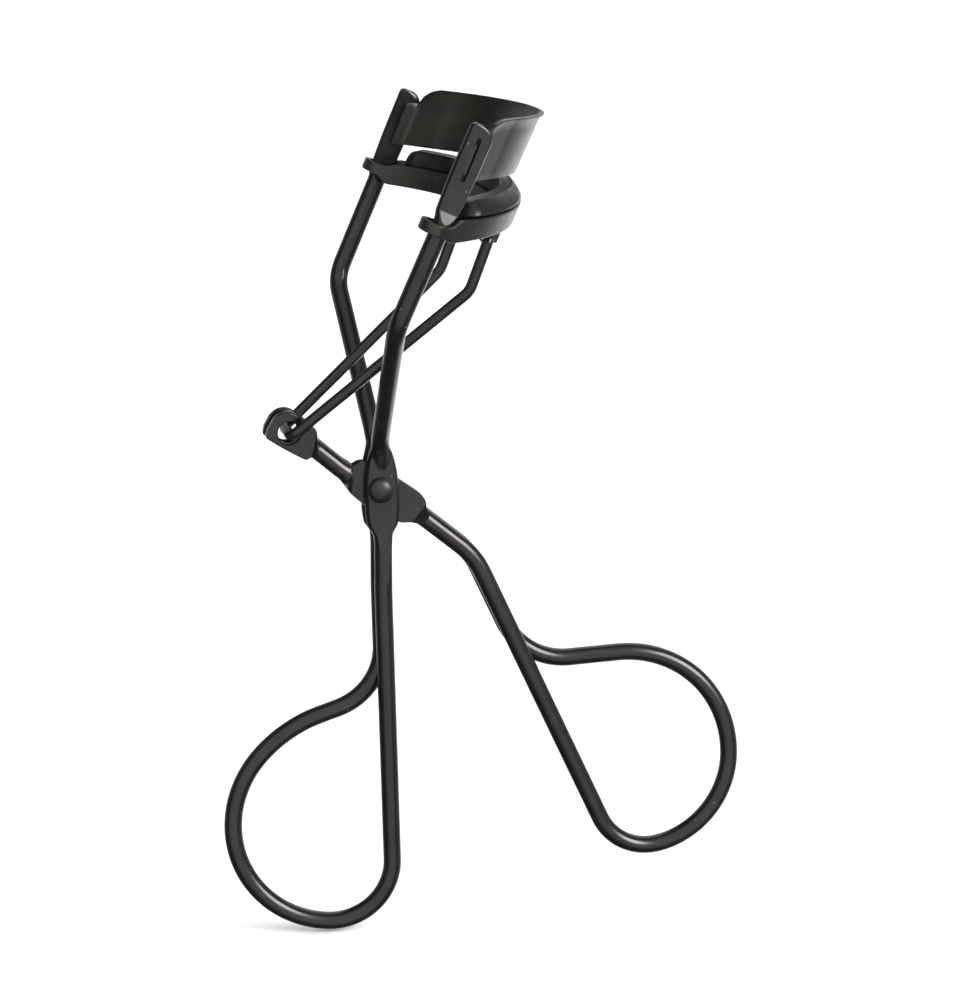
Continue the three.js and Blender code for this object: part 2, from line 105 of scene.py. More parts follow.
# ---- places: the head's frame, rounded paths and finger loops ----
HEAD_FRAME = Matrix.Translation(HEAD_AT) @ Matrix.Rotation(HEAD_LEAN, 4, "Y")
JAW_FRAME = (HEAD_FRAME @ Matrix.Translation((0, 0, JAW_TIP["about"] + JAW_TIP["raise"]))
             @ Matrix.Rotation(JAW_TIP["roll"], 4, "X") @ Matrix.Translation((0, 0, -JAW_TIP["about"])))


def placed(matrix, points):
    """The points moved by a 4 by 4 matrix."""
    rows = np.array(matrix)
    return np.asarray(points, float) @ rows[:3, :3].T + rows[:3, 3]


def unit(vector):
    return vector / np.linalg.norm(vector)


def rounded(corners, radii, step=2.5):
    """A line through corners, each inner one rounded to its radius, with a point every few degrees."""
    corners = [np.asarray(c, float) for c in corners]
    line = [corners[0]]
    for before, corner, after, radius in zip(corners, corners[1:], corners[2:], radii):
        back, ahead = unit(before - corner), unit(after - corner)
        turn = math.pi - math.acos(np.clip(back @ ahead, -1, 1))
        reach = radius * math.tan(turn / 2)
        start, end = corner + back * reach, corner + ahead * reach
        centre = corner + unit(back + ahead) * radius / math.cos(turn / 2)
        for share in np.linspace(0, 1, max(4, math.ceil(math.degrees(turn) / step))):
            a = math.sin((1 - share) * turn) / math.sin(turn)
            b = math.sin(share * turn) / math.sin(turn)
            line.append(centre + a * (start - centre) + b * (end - centre))
    line.append(corners[-1])
    return np.array(line)


def finger_loop(bends, radii, back, step=2.5):
    """A finger loop in its own plane, as (u, v): down the leg, three bends, a straight, and a bend back."""
    points = [(0.0, 0.0)]
    heading = 0.0

    def bend(radius, degrees):
        nonlocal heading
        first, side = heading, math.copysign(1, degrees)
        u0, v0 = points[-1]
        for share in np.linspace(0, 1, math.ceil(abs(degrees) / step) + 1)[1:]:
            heading = first + math.radians(degrees) * share
            points.append((u0 + side * radius * (math.cos(first) - math.cos(heading)),
                           v0 - side * radius * (math.sin(heading) - math.sin(first))))

    for degrees, radius in zip(bends, radii):
        bend(radius, degrees)
    return_bend = math.degrees(heading) - 180
    left = points[-1][0] + back * (-1 - math.cos(heading))
    straight = -left / math.sin(heading)
    points.append((points[-1][0] + straight * math.sin(heading),
                   points[-1][1] - straight * math.cos(heading)))
    bend(back, -return_bend)
    return np.array(points)


class Route:
    """A dense line that gives the place and direction at any length along it."""

    def __init__(self, line):
        keep = np.r_[True, np.linalg.norm(np.diff(line, axis=0), axis=1) > 1e-6]
        self.line = line[keep]
        steps = np.linalg.norm(np.diff(self.line, axis=0), axis=1)
        self.lengths = np.r_[0, np.cumsum(steps)]
        self.total = self.lengths[-1]

    def at(self, length):
        """The place at a length from the line's start."""
        return np.array([np.interp(length, self.lengths, self.line[:, k]) for k in range(3)]).T

    def direction(self, length, span=0.35):
        """A unit vector along the line, taken over a short span either side of the place."""
        ahead = self.at(np.minimum(length + span, self.total))
        return unit(ahead - self.at(np.maximum(length - span, 0)))

    def length_near(self, point):
        """Length along the line of the place nearest a point."""
        fine = np.linspace(0, self.total, 6000)
        return fine[np.argmin(np.linalg.norm(self.at(fine) - np.asarray(point, float), axis=1))]


def smooth_through(x, keys):
    """A smooth curve through (x, value) keys that doesn't overshoot them."""
    at, value = np.array(keys, float).T
    slopes = np.diff(value) / np.diff(at)
    gradients = np.zeros(len(at))
    for i in range(1, len(at) - 1):
        if slopes[i - 1] * slopes[i] > 0:
            gradients[i] = 2 * slopes[i - 1] * slopes[i] / (slopes[i - 1] + slopes[i])
    x = np.clip(x, at[0], at[-1])
    i = np.clip(np.searchsorted(at, x, side="right") - 1, 0, len(at) - 2)
    h = at[i + 1] - at[i]
    t = (x - at[i]) / h
    return ((2 * t**3 - 3 * t**2 + 1) * value[i] + (t**3 - 2 * t**2 + t) * h * gradients[i]
            + (3 * t**2 - 2 * t**3) * value[i + 1] + (t**3 - t**2) * h * gradients[i + 1])


def straight_through(x, keys):
    """Straight runs through (x, value) keys."""
    at, value = np.array(keys, float).T
    return np.interp(x, at, value)


# ---- wire sections: a round or widened wire, pressed between two faces ----
FACE_POINTS = 25
SIDE_POINTS = 11
SECTION_POINTS = 2 * (FACE_POINTS + SIDE_POINTS)
ROUND_LIMIT = math.sin(math.radians(78))
RIM = 0.13


def rim_drop(distance, rim):
    """How far a face's rounded rim has dropped at a distance in from its edge."""
    inside = np.maximum(rim - distance, 0)
    return rim - np.sqrt(rim**2 - np.minimum(inside, rim) ** 2)


def side_angle(half, centre, thick, face, side):
    """Where the section's side meets a pressed face, as an angle up from the wide axis."""
    angle = 0.5
    for _ in range(12):
        ratio = (face(side * half * math.cos(angle)) - centre) / thick
        cut = float(np.clip((ROUND_LIMIT - ratio) / 0.35, 0, 1))
        angle = (angle + math.asin(np.clip(ratio - RIM * cut / thick, -0.99, ROUND_LIMIT))) / 2
    return angle, cut


def face_points(half, centre, thick, face, tip=None, sink=None):
    """One pressed face of a wire section, right to left, as (a, b), with its two side angles.

    face gives its height at a place across. Near a tip, tip gives how far the face's rim has dropped at
    a place across. Where the round wire sinks into a face, sink is how deep it has gone.
    """
    right, right_cut = side_angle(half, centre, thick, face, 1)
    left, left_cut = side_angle(half, centre, thick, face, -1)
    left = math.pi - left
    a_right, a_left = half * math.cos(right), half * math.cos(left)
    a = (a_right + a_left) / 2 + (a_right - a_left) / 2 * np.cos(np.linspace(0, math.pi, FACE_POINTS))
    drop = rim_drop(np.minimum(a_right - a, a - a_left), RIM)
    if tip is not None:
        drop = tip(a)
    cut = left_cut + (right_cut - left_cut) * (a - a_left) / (a_right - a_left)
    b = np.minimum(np.array([face(x) for x in a]) - cut * drop,
                   centre + thick * np.sqrt(np.clip(1 - (a / half) ** 2, 0, 1)))
    if sink is not None:
        round_wire = np.sqrt(np.clip((WIRE / 2) ** 2 - a**2, 0, None)) - sink
        b = np.where(np.abs(a) < WIRE / 2, np.maximum(b, round_wire), b)
    return a, b, right, left


def section(here):
    """A closed ring of points of the wire's section at a station."""
    half, centre, thick = here["wide"] / 2, here["centre"], here["thick"]
    high, low = here["hi"], here["lo"]
    top_a, top_b, top_right, top_left = face_points(half, centre, thick, high, here["tip"], here["sink"])
    low_a, low_b, low_right, low_left = face_points(half, -centre, thick, lambda a: -low(a), here["low_tip"])
    share = np.linspace(0, 1, SIDE_POINTS + 2)[1:-1]
    right = -low_right + (top_right + low_right) * share
    left = top_left + (2 * math.pi - low_left - top_left) * share
    a = np.r_[half * np.cos(right), top_a, half * np.cos(left), low_a[::-1]]
    b = np.r_[centre + thick * np.sin(right), top_b, centre + thick * np.sin(left), -low_b[::-1]]
    return a + here["mid"], b


def level(height):
    """A face that has the same height all the way across."""
    return lambda a: height


def station(**changes):
    """A plain round section, with any changes. hi and lo are faces, and one past the wire presses nothing."""
    here = {"wide": WIRE, "mid": 0.0, "centre": 0.0, "thick": WIRE / 2, "lo": level(-WIRE), "hi": level(WIRE),
            "tip": None, "low_tip": None, "sink": None}
    here.update(changes)
    return here


def ring_at(place, along, thin, here, mirrored=False):
    """A station's section as a ring in space, square to the wire, with its thin axis near a direction."""
    thin = unit(thin - along * (thin @ along))
    wide = np.cross(thin, along) * (-1 if mirrored else 1)
    a, b = section(here)
    return place + a[:, None] * wide + b[:, None] * thin


# ---- meshes ----
def grid_faces(rings, points, loops=False, caps=True):
    """Quads over rings of points, with fans over the two open ends."""
    ring = np.arange(points)
    beside = (ring + 1) % points
    faces = []
    for i in range(rings if loops else rings - 1):
        here, there = i * points, ((i + 1) % rings) * points
        faces += np.stack([here + ring, here + beside, there + beside, there + ring], 1).tolist()
    if caps and not loops:
        first, last = rings * points, rings * points + 1
        tail = (rings - 1) * points
        faces += [(first, k, j) for j, k in zip(ring.tolist(), beside.tolist())]
        faces += [(last, tail + j, tail + k) for j, k in zip(ring.tolist(), beside.tolist())]
    return faces


def mesh_over(name, rings, loops=False):
    """A mesh object over rings of points given in millimetres from the rivet."""
    rings = np.asarray(rings)
    points = rings.reshape(-1, 3)
    if not loops:
        points = np.vstack([points, rings[0].mean(0), rings[-1].mean(0)])
    return mesh_of(name, points, grid_faces(len(rings), rings.shape[1], loops))


def face_outwards(mesh):
    """Merges points that coincide and turns every face outwards."""
    edit = bmesh.new()
    edit.from_mesh(mesh)
    bmesh.ops.remove_doubles(edit, verts=edit.verts, dist=2e-7)
    bmesh.ops.recalc_face_normals(edit, faces=edit.faces)
    edit.to_mesh(mesh)
    edit.free()


def mesh_of(name, points, faces):
    """A mesh object over points given in millimetres from the rivet."""
    mesh = bpy.data.meshes.new(name)
    mesh.from_pydata(((np.asarray(points) + RIVET_AT) * MM).tolist(), [], faces)
    face_outwards(mesh)
    shape = bpy.data.objects.new(name, mesh)
    bpy.context.scene.collection.objects.link(shape)
    return shape


def combine(target, tools, how):
    """Cuts tools from target or joins them to it, and removes them."""
    for tool in tools:
        change = target.modifiers.new("combine", "BOOLEAN")
        change.operation, change.solver, change.object = how, "EXACT", tool
    depsgraph = bpy.context.evaluated_depsgraph_get()
    joined = bpy.data.meshes.new_from_object(target.evaluated_get(depsgraph))
    target.modifiers.clear()
    target.data = joined
    for tool in tools:
        bpy.data.objects.remove(tool)


def finish_piece(piece, body, node, material):
    """Shades a piece, gives it its material, ties it to its body, and hides the CAD part of that node."""
    face_outwards(piece.data)
    for polygon in piece.data.polygons:
        polygon.use_smooth = True
    piece.data.set_sharp_from_angle(angle=math.radians(38))
    piece.data.materials.clear()
    piece.data.materials.append(material)
    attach(piece, body)
    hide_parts(node)
    return piece


def lathed(name, profile, centre, axis, steps=64):
    """A solid turned round an axis: profile is (radius, height) from one end on the axis to the other."""
    axis = unit(np.asarray(axis, float))
    side = unit(np.cross(axis, [0.3, 0.2, 0.9]))
    other = np.cross(axis, side)
    angles = np.linspace(0, 2 * math.pi, steps, endpoint=False)
    circle = np.outer(np.cos(angles), side) + np.outer(np.sin(angles), other)
    return mesh_over(name, [centre + axis * height + radius * circle for radius, height in profile])


def bars_at_both_sides(name, bar, steps=12):
    """Two round-ended bars at the slots' height, one a side, each run from its inner to its outer end."""
    radius = bar["wide"] / 2
    outline = []
    for end, first in ((bar["length"] / 2 - radius, 0), (-bar["length"] / 2 + radius, math.pi)):
        for angle in np.linspace(first, first + math.pi, steps):
            outline.append((bar["forward"] + radius * math.cos(angle),
                            SLOT["up"] + end + radius * math.sin(angle)))
    bars = []
    for side in (-1, 1):
        rings = [placed(HEAD_FRAME, [(forward, y, up) for forward, up in outline])
                 for y in sorted((side * bar["inner"], side * bar["outer"]))]
        bars.append(mesh_over(name, rings))
    return bars


# ---- frame wire ----
TIP_FLAT = {"half_thick": 0.65, "wide": 3.4, "narrow": 3.0, "length": 11.3, "ramp": 1.6,
            "back_corner": 0.7, "front_corner": 1.9, "bevel": 0.32, "front_bevel": 0.7, "inner_bevel": 1.15,
            "bevel_depth": 0.4, "bevel_end": 4.5, "short": 0.41, "forward": 0.4}
SLOT = {"forward": 0.62, "up": 21.9, "wide": 0.66, "length": 5.7, "inner": 19.2, "outer": 22.5}
STAKE = {"forward": 0.54, "wide": 0.4, "length": 3.9, "inner": 18.2, "outer": 20.0}
PLATE = {"lo": -0.15, "hi": 0.75, "x": 0.25}
LEG_TILT = -0.16
NIB = {"top": 6.2, "crest": 4.6, "end": 2.2, "rise": 0.1}
FEATURE_STEP = 0.14
PLAIN_STEP = 0.5
LOOP_STEP = 0.6


def upright_line():
    """The middle of the far upright and leg, from the tip down to the finger loop."""
    plate_top = np.array([PLATE["x"], STRAND_Y, 4.6])
    tip = TIP + np.array([TIP_FLAT["forward"], 0, 0]) - unit(TIP - ELBOW) * TIP_FLAT["short"]
    upper = rounded([tip, ELBOW, NECK, plate_top, [PLATE["x"], STRAND_Y, -6.5]], (5, 6, 2))
    lower = rounded([[PLATE["x"], STRAND_Y, -7.5], [FRAME_LEG_X, STRAND_Y, -14],
                     [FRAME_LEG_X, STRAND_Y, FRAME_LEG_BOTTOM]], (20,))
    return Route(np.vstack([upper, lower[1:]]))


def spaced(total, fine_runs):
    """Lengths along a wire, close together in the fine runs and open elsewhere."""
    edges = sorted({0.0, total, *(edge for run in fine_runs for edge in run)})
    lengths = []
    for start, end in zip(edges, edges[1:]):
        fine = any(run[0] <= (start + end) / 2 <= run[1] for run in fine_runs)
        count = max(1, round((end - start) / (FEATURE_STEP if fine else PLAIN_STEP)))
        lengths += np.linspace(start, end, count, endpoint=False).tolist()
    return np.array([*lengths, total])


def tip_start(reach, count=18):
    """Lengths over a tip's corners, closest at its end."""
    return reach * (1 - np.cos(np.linspace(0.06, math.pi / 2, count)))


def tip_edges(length):
    """Where the tip's front and back edges lie across it, at a length from its end."""
    half = TIP_FLAT["wide"] / 2

    def edge(corner):
        short = max(corner - length, 0)
        return half - corner + math.sqrt(corner**2 - short**2)

    return -edge(TIP_FLAT["front_corner"]), edge(TIP_FLAT["back_corner"])


def tip_rim(a, length, front_bevel):
    """How far the tip's bevelled rim has dropped at a place across it."""
    half = TIP_FLAT["wide"] / 2
    inward = np.minimum(np.minimum(half - a, half + a), length)
    for side, corner in ((-1, TIP_FLAT["front_corner"]), (1, TIP_FLAT["back_corner"])):
        past, short = side * a - (half - corner), corner - length
        if short > 0:
            inward = np.where(past > 0, corner - np.hypot(past, short), inward)
    # the front edge's bevel gives way to the back edge's over the middle of the tip
    to_front = np.clip(0.5 - a / 1.4, 0, 1)
    bevel = TIP_FLAT["bevel"] + (front_bevel - TIP_FLAT["bevel"]) * to_front
    fade = 1 - length / TIP_FLAT["bevel_end"]
    rim = RIM + (bevel - RIM) * fade
    inside = np.clip(1 - inward / rim, 0, 1)
    return np.minimum(0.75 * rim, TIP_FLAT["bevel_depth"]) * (1 - np.sqrt(1 - inside**2))


def tip_faces(mid, length):
    """The rim drops of the tip's outer and inner faces, at a length from its end."""
    def drop_with(bevel):
        return lambda a: tip_rim(a + mid, length, bevel)

    return drop_with(TIP_FLAT["front_bevel"]), drop_with(TIP_FLAT["inner_bevel"])


def frame_strand():
    """Rings of the far upright and leg: flat tip, round wire, pivot plate, round leg."""
    route = upright_line()

    def down_to(height):
        """The length along the strand where it passes a height, near the plate."""
        return route.length_near([STRAND_X, STRAND_Y, height])

    flat_end = TIP_FLAT["length"]
    ramp_end = flat_end + TIP_FLAT["ramp"]
    nib_top, nib_end = down_to(NIB["top"]), down_to(NIB["end"])
    plate_end, leg_start, round_leg = down_to(-5.6), down_to(-8.0), down_to(-12.5)
    corner = TIP_FLAT["front_corner"]
    lengths = spaced(route.total, [(corner, ramp_end + 0.4), (nib_top - 0.6, round_leg)])
    lengths = np.r_[tip_start(corner), lengths[lengths > corner + 0.01]]
    full, past = WIRE / 2, route.total
    # the plate's outline: how wide the wire is at each height
    plate_wide = [(down_to(height), wide) for height, wide in
                  ((5.4, 2.75), (4.7, 3.2), (2.4, 4.2), (0, 4.6), (-2.7, 4.55), (-4.5, 4.2), (-5.0, 3.95),
                   (-5.6, 3.2), (-6.1, 2.65), (-7.0, 2.46))]
    wide_keys = [(0, TIP_FLAT["wide"]), (5, TIP_FLAT["wide"]), (flat_end, TIP_FLAT["narrow"]),
                 (ramp_end, WIRE), (nib_top, WIRE), *plate_wide, (leg_start, WIRE), (past, WIRE)]
    half_thick = TIP_FLAT["half_thick"]
    hi_keys = [(0, half_thick), (flat_end, half_thick), (ramp_end, full), (ramp_end + 0.1, WIRE),
               (nib_top - 0.01, WIRE), (nib_top, PLATE["hi"]), (plate_end, PLATE["hi"]),
               (round_leg, full), (round_leg + 0.1, WIRE), (past, WIRE)]
    lo_keys = [(0, -half_thick), (flat_end, -half_thick), (ramp_end, -full), (ramp_end + 0.1, -WIRE),
               (down_to(5.4), -full), (down_to(4.7), -0.9), (down_to(2.4), PLATE["lo"]),
               (plate_end, PLATE["lo"]), (leg_start, -full), (leg_start + 0.1, -WIRE), (past, -WIRE)]
    sink_keys = [(nib_top, 0), (down_to(NIB["crest"]), -NIB["rise"]), (nib_end, full - PLATE["hi"])]
    tilt_keys = [(0, 0), (plate_end, 0), (down_to(-7.0), LEG_TILT), (past, LEG_TILT)]
    rings = []
    for length in lengths:
        wide = float(smooth_through(length, wide_keys))
        mid, tip, low_tip, sink = 0.0, None, None, None
        if length < corner:
            front, back = tip_edges(length)
            wide, mid = back - front, (back + front) / 2
        if length < TIP_FLAT["bevel_end"]:
            tip, low_tip = tip_faces(mid, length)
        if nib_top <= length < nib_end:
            sink = float(smooth_through(length, sink_keys))
        high = float(straight_through(length, hi_keys))
        low = float(straight_through(length, lo_keys))
        tilt = float(straight_through(length, tilt_keys))
        here = station(wide=wide, mid=mid, hi=lambda a: high - tilt * a, lo=level(low), tip=tip,
                       low_tip=low_tip, sink=sink)
        rings.append(ring_at(route.at(length), route.direction(length), ACROSS, here))
    return np.array(rings)


def loop_rings(origin, away, down, loop):
    """Round rings along a finger loop, crossing from the near strand's side to the far strand's."""
    flat = finger_loop(**loop)
    line = origin + np.outer(flat[:, 0], away) - np.outer(flat[:, 1], down)
    route = Route(line * ONTO_MIDDLE)
    crossed = route.total - loop["back"] * math.radians(60)
    lengths = np.linspace(0, route.total, round(route.total / LOOP_STEP))[1:-1]
    rings = []
    for length in lengths:
        share = min(length / crossed, 1)
        place = route.at(length) + ACROSS * STRAND_Y * (2 * share * share * (3 - 2 * share) - 1)
        rings.append(ring_at(place, route.direction(length), -ACROSS, station(), mirrored=True))
    return np.array(rings)


def whole_wire(name, far, loop, down):
    """One wire: the near strand, the finger loop and the far strand down to the loop's end, as one skin."""
    near = far * MIRROR
    end = loop[-1].mean(0)
    clear = 0.3
    above = [(ring.mean(0) - end) @ down < -clear for ring in far]
    back = np.roll(far[above][::-1], -SECTION_POINTS // 2, axis=1)
    return mesh_over(name, np.concatenate([near, loop, back]))


def make_frame_wire(material):
    far = frame_strand()
    down = np.array([0, 0, -1.0])
    loop = loop_rings(np.array([FRAME_LEG_X, 0, FRAME_LEG_BOTTOM]), np.array([-1.0, 0, 0]), down, FRAME_LOOP)
    wire = whole_wire("frame_wire_fine", far, loop, down)
    combine(wire, bars_at_both_sides("slot", SLOT), "DIFFERENCE")
    return finish_piece(wire, "frame", "frame_wire", material)


# ---- lever wire ----
LEVER_PLATE = {"lo": -1.15, "hi": -0.35, "centre": -0.75}
LEVER_SKEW = {"ear": 0.31, "start": 0.53}
EAR_FACES = {"lo": -0.55, "hi": 0.45, "centre": -0.05}
EAR_FLARE = 0.16
EAR_START = np.array([-8.3, STRAND_Y, 6.08])
EAR_END = np.array([-14.2, STRAND_Y, 9.57])
ARM_START = np.array([-5.0, STRAND_Y, 3.05])
PLATE_MIDDLE = np.array([0, STRAND_Y, -0.2])
PLATE_END = np.array([4.6, STRAND_Y, -3.3])


def lever_strand():
    """Rings of the far lever strand: ear, arm, pivot plate and leg. The wire starts at the ear's end."""
    route = Route(rounded([EAR_END, EAR_START, ARM_START, PLATE_MIDDLE, PLATE_END, LEVER_SHOULDER,
                           LEVER_LEG_END], (3, 4, 6, 6, 12)))
    ear, middle = route.length_near(EAR_START), route.length_near(PLATE_MIDDLE)
    start, finish = route.length_near(ARM_START) + 1.8, route.length_near(PLATE_END) + 0.7
    full, past = WIRE / 2, route.total
    # the top and bottom edges across the wire, by length from the ear's end
    top_keys = [(0, 1.1), (0.15, 1.6), (0.5, 2.25), (1.0, 2.7), (1.6, 2.95), (2.3, 3.0), (3.2, 2.85),
                (5.6, 2.35), (ear - 0.8, 2.0), (ear - 0.2, full), (start - 0.6, full), (start, 1.9),
                (start + 0.7, 2.4), (middle, 2.5), (finish - 1.4, 2.3), (finish - 0.1, 1.85),
                (finish + 0.6, full), (past, full)]
    low_keys = [(0, -0.6), (0.1, -1.0), (0.25, -1.4), (0.45, -1.62), (1.0, -1.7), (3.7, -1.88),
                (ear - 0.9, -1.92), (ear - 0.4, -1.85), (ear + 0.3, -full), (start - 1.8, -full),
                (start - 0.6, -1.55), (start + 0.6, -2.05), (start + 1.6, -2.4), (middle, -2.75),
                (finish - 1.6, -2.45), (finish - 0.5, -2.05), (finish + 0.2, -1.55), (finish + 0.9, -full),
                (past, -full)]
    # the heights of the two pressed faces, and of the section's middle
    hi_keys = [(0, EAR_FACES["hi"]), (ear - 0.35, EAR_FACES["hi"]), (ear + 0.1, full), (ear + 0.15, WIRE),
               (start - 0.41, WIRE), (start - 0.4, full), (start, LEVER_PLATE["hi"]),
               (finish, LEVER_PLATE["hi"]), (finish + 1.15, full), (finish + 1.2, WIRE), (past, WIRE)]
    lo_keys = [(0, EAR_FACES["lo"]), (ear - 0.55, EAR_FACES["lo"]), (ear - 0.1, -full), (ear, -WIRE),
               (start - 0.5, -WIRE), (start - 0.4, -full), (start, LEVER_PLATE["lo"]),
               (finish, LEVER_PLATE["lo"]), (finish + 0.6, -full), (finish + 0.65, -WIRE), (past, -WIRE)]
    centre_keys = [(0, EAR_FACES["centre"]), (ear - 0.55, EAR_FACES["centre"]), (ear, 0), (start - 0.5, 0),
                   (start + 0.4, LEVER_PLATE["centre"]), (finish, LEVER_PLATE["centre"]), (finish + 1.0, 0),
                   (past, 0)]
    lengths = spaced(past, [(0.0, ear + 0.6), (start - 2.4, finish + 1.6)])
    end_part = 0.5
    close_together = end_part * (1 - np.cos(np.linspace(0.1, math.pi / 2, 8)))
    lengths = np.r_[close_together, lengths[lengths > end_part + 0.01]]
    rings = []
    for length in lengths:
        top = float(smooth_through(length, top_keys))
        low = float(smooth_through(length, low_keys))
        mid = -(top + low) / 2
        # the steps up to the ear and down to the plate run slantwise over the wire
        skew = 0
        if 4 < length < ear + 1.2:
            skew = LEVER_SKEW["ear"]
        if abs(length - start) < 2.5:
            skew = LEVER_SKEW["start"]

        def high(a):
            return float(straight_through(length - skew * (a + mid), hi_keys))

        inner = float(straight_through(length, lo_keys))
        centre = float(straight_through(length, centre_keys))
        here = station(wide=top - low, mid=mid, centre=centre, hi=high, lo=level(inner))
        rings.append(ring_at(route.at(length), route.direction(length), ACROSS, here))
    return np.array(rings)


def make_lever_wire(material):
    far = lever_strand()
    down = unit(LEVER_LEG_END - LEVER_SHOULDER)
    origin = LEVER_LEG_END * ONTO_MIDDLE
    loop = loop_rings(origin, -np.cross(ACROSS, down), down, LEVER_LOOP)
    wire = whole_wire("lever_wire_fine", far, loop, down)
    # one drill through both ears, flared where it meets each ear's two faces
    flared = []
    for y in np.linspace(-2.2, 2.2, 45):
        depth = min(abs(abs(y) - (STRAND_Y + EAR_FACES[face])) for face in ("hi", "lo"))
        flared.append((EAR_HOLE["radius"] + max(0.0, EAR_FLARE - depth), y))
    drill = lathed("ear_drill", [(0.01, -2.3), *flared, (0.01, 2.3)],
                   np.array([EAR_HOLE["x"], 0, EAR_HOLE["z"]]), ACROSS)
    combine(wire, [drill], "DIFFERENCE")
    return finish_piece(wire, "lever", "lever_wire", material)


# ---- push link ----
LINK_END = 0.3
LINK_STEP = 0.3


def make_push_link(material):
    """One wire from hook to hook, by way of both elbows and the foot through the ears."""
    lug = placed(HEAD_FRAME, [(LUG["forward"], LINK_SPREAD, LUG["up"])])[0]
    hook = lug * ONTO_MIDDLE + ACROSS * LINK_HOOK_Y
    foot = LINK_FOOT * ONTO_MIDDLE
    far = rounded([hook, lug, LINK_ELBOW, LINK_FOOT, foot], (1.0, 3.0, 1.3), 4)
    route = Route(np.vstack([far, (far * MIRROR)[::-1][1:]]))
    thin = unit(np.cross((LINK_FOOT - LINK_ELBOW) * ONTO_MIDDLE, ACROSS))
    angles = np.linspace(0, 2 * math.pi, 32, endpoint=False)
    lengths = np.linspace(0, route.total, round(route.total / LINK_STEP))
    rings = []
    for length in lengths:
        along = route.direction(length, 0.2)
        normal = unit(thin - along * (thin @ along))
        wide = np.cross(normal, along)
        from_end = min(length, route.total - length, LINK_END) / LINK_END
        radius = LINK_WIRE / 2 * (0.6 + 0.4 * math.sqrt(1 - (1 - from_end) ** 2))
        circle = np.outer(np.cos(angles), wide) + np.outer(np.sin(angles), normal)
        rings.append(route.at(length) + radius * circle)
    return finish_piece(mesh_over("push_link_fine", rings), "link", "push_link", material)


# ---- jaws: strips that follow a line in plan ----
STRIP_STEP = 0.3


def strip_profile(thick, low, high, lean=0.0, lip=0.0, rim=0.16, rows=10):
    """Closed outline of a standing strip, as (outward, up): outer face up, over the top, inner face down.

    The strip leans outwards by lean over its whole height, and by lip over the upper jaw's lip at its top.
    """
    half = thick / 2
    rim = min(rim, half * 0.95)
    corner = np.linspace(0, math.pi / 2, 5)
    span = high - low

    def offset(up):
        share = np.clip((up - low) / span, 0, 1)
        return lean * share + lip * np.clip((up - (high - UPPER["lip"])) / UPPER["lip"], 0, 1)

    heights = np.linspace(low + rim, high - rim, rows + 1)
    outline = [(half, up) for up in heights]
    outline += [(half - rim + rim * math.cos(t), high - rim + rim * math.sin(t)) for t in corner[1:]]
    outline += [(-half + rim - rim * math.sin(t), high - rim + rim * math.cos(t)) for t in corner[:-1]]
    outline += [(-half, up) for up in heights[::-1]]
    outline += [(-half + rim - rim * math.cos(t), low + rim - rim * math.sin(t)) for t in corner[1:]]
    outline += [(half - rim + rim * math.sin(t), low + rim - rim * math.cos(t)) for t in corner[:-1]]
    return np.array([(outward + offset(up), up) for outward, up in outline])


def strip_rings(line, profile_at, matrix, closed=False):
    """Rings of a standing strip along a plan line of (forward, across) points."""
    line = np.asarray(line, float)
    if closed:
        ahead = np.roll(line, -1, 0) - np.roll(line, 1, 0)
    else:
        ahead = np.gradient(line, axis=0)
    ahead /= np.linalg.norm(ahead, axis=1)[:, None]
    outward = np.stack([ahead[:, 1], -ahead[:, 0]], 1)
    rings = []
    for place, out in zip(line, outward):
        profile = profile_at(place, out)
        plan = place + profile[:, :1] * out
        rings.append(placed(matrix, np.c_[plan, profile[:, 1]]))
    return rings


def resampled(line, step):
    """A plan line's points moved to even steps along it."""
    route = Route(np.c_[line, np.zeros(len(line))])
    return route.at(np.linspace(0, route.total, round(route.total / step)))[:, :2]


def make_upper_jaw(material):
    """A bowed strip with a bent tab and a stake at each end. Its top edge turns outwards in a lip."""
    bow_end = math.radians(UPPER["bow_end"])
    angles = np.linspace(0, bow_end, 60)
    bow = np.c_[UPPER["centre"] + UPPER["radius"] * np.cos(angles), UPPER["radius"] * np.sin(angles)]
    tab_bend = (UPPER["tab_front"], UPPER["tab_y"], 0)
    tab_end = (UPPER["tab_back"], UPPER["tab_y"], 0)
    straight = rounded([(*bow[-1], 0), tab_bend, tab_end], (UPPER["tab_bend"],), 5)[:, :2]
    half_line = resampled(np.vstack([bow, straight[1:]]), STRIP_STEP)
    line = np.vstack([(half_line * np.array([1, -1]))[::-1], half_line[1:]])
    corner_front = UPPER["tab_front"] + UPPER["corner"]

    def profile_at(place, out):
        forward = place[0]
        into_corner = np.clip((corner_front - forward) / UPPER["corner"], 0, 1)
        drop = UPPER["corner_drop"][int(place[1] > 0)] * (1 - math.sqrt(1 - into_corner**2))
        rise = EDGE_RISE * forward
        faces_forward = max(out[0], 0.0)
        return strip_profile(UPPER["thick"], UPPER["low"] + rise, UPPER["high"] - drop + rise,
                             UPPER["lean"] * faces_forward**2, UPPER["lip_out"] * faces_forward**0.5)

    jaw = mesh_over("upper_jaw_fine", strip_rings(line, profile_at, HEAD_FRAME))
    combine(jaw, bars_at_both_sides("stake", STAKE), "UNION")
    return finish_piece(jaw, "frame", "upper_jaw", material)


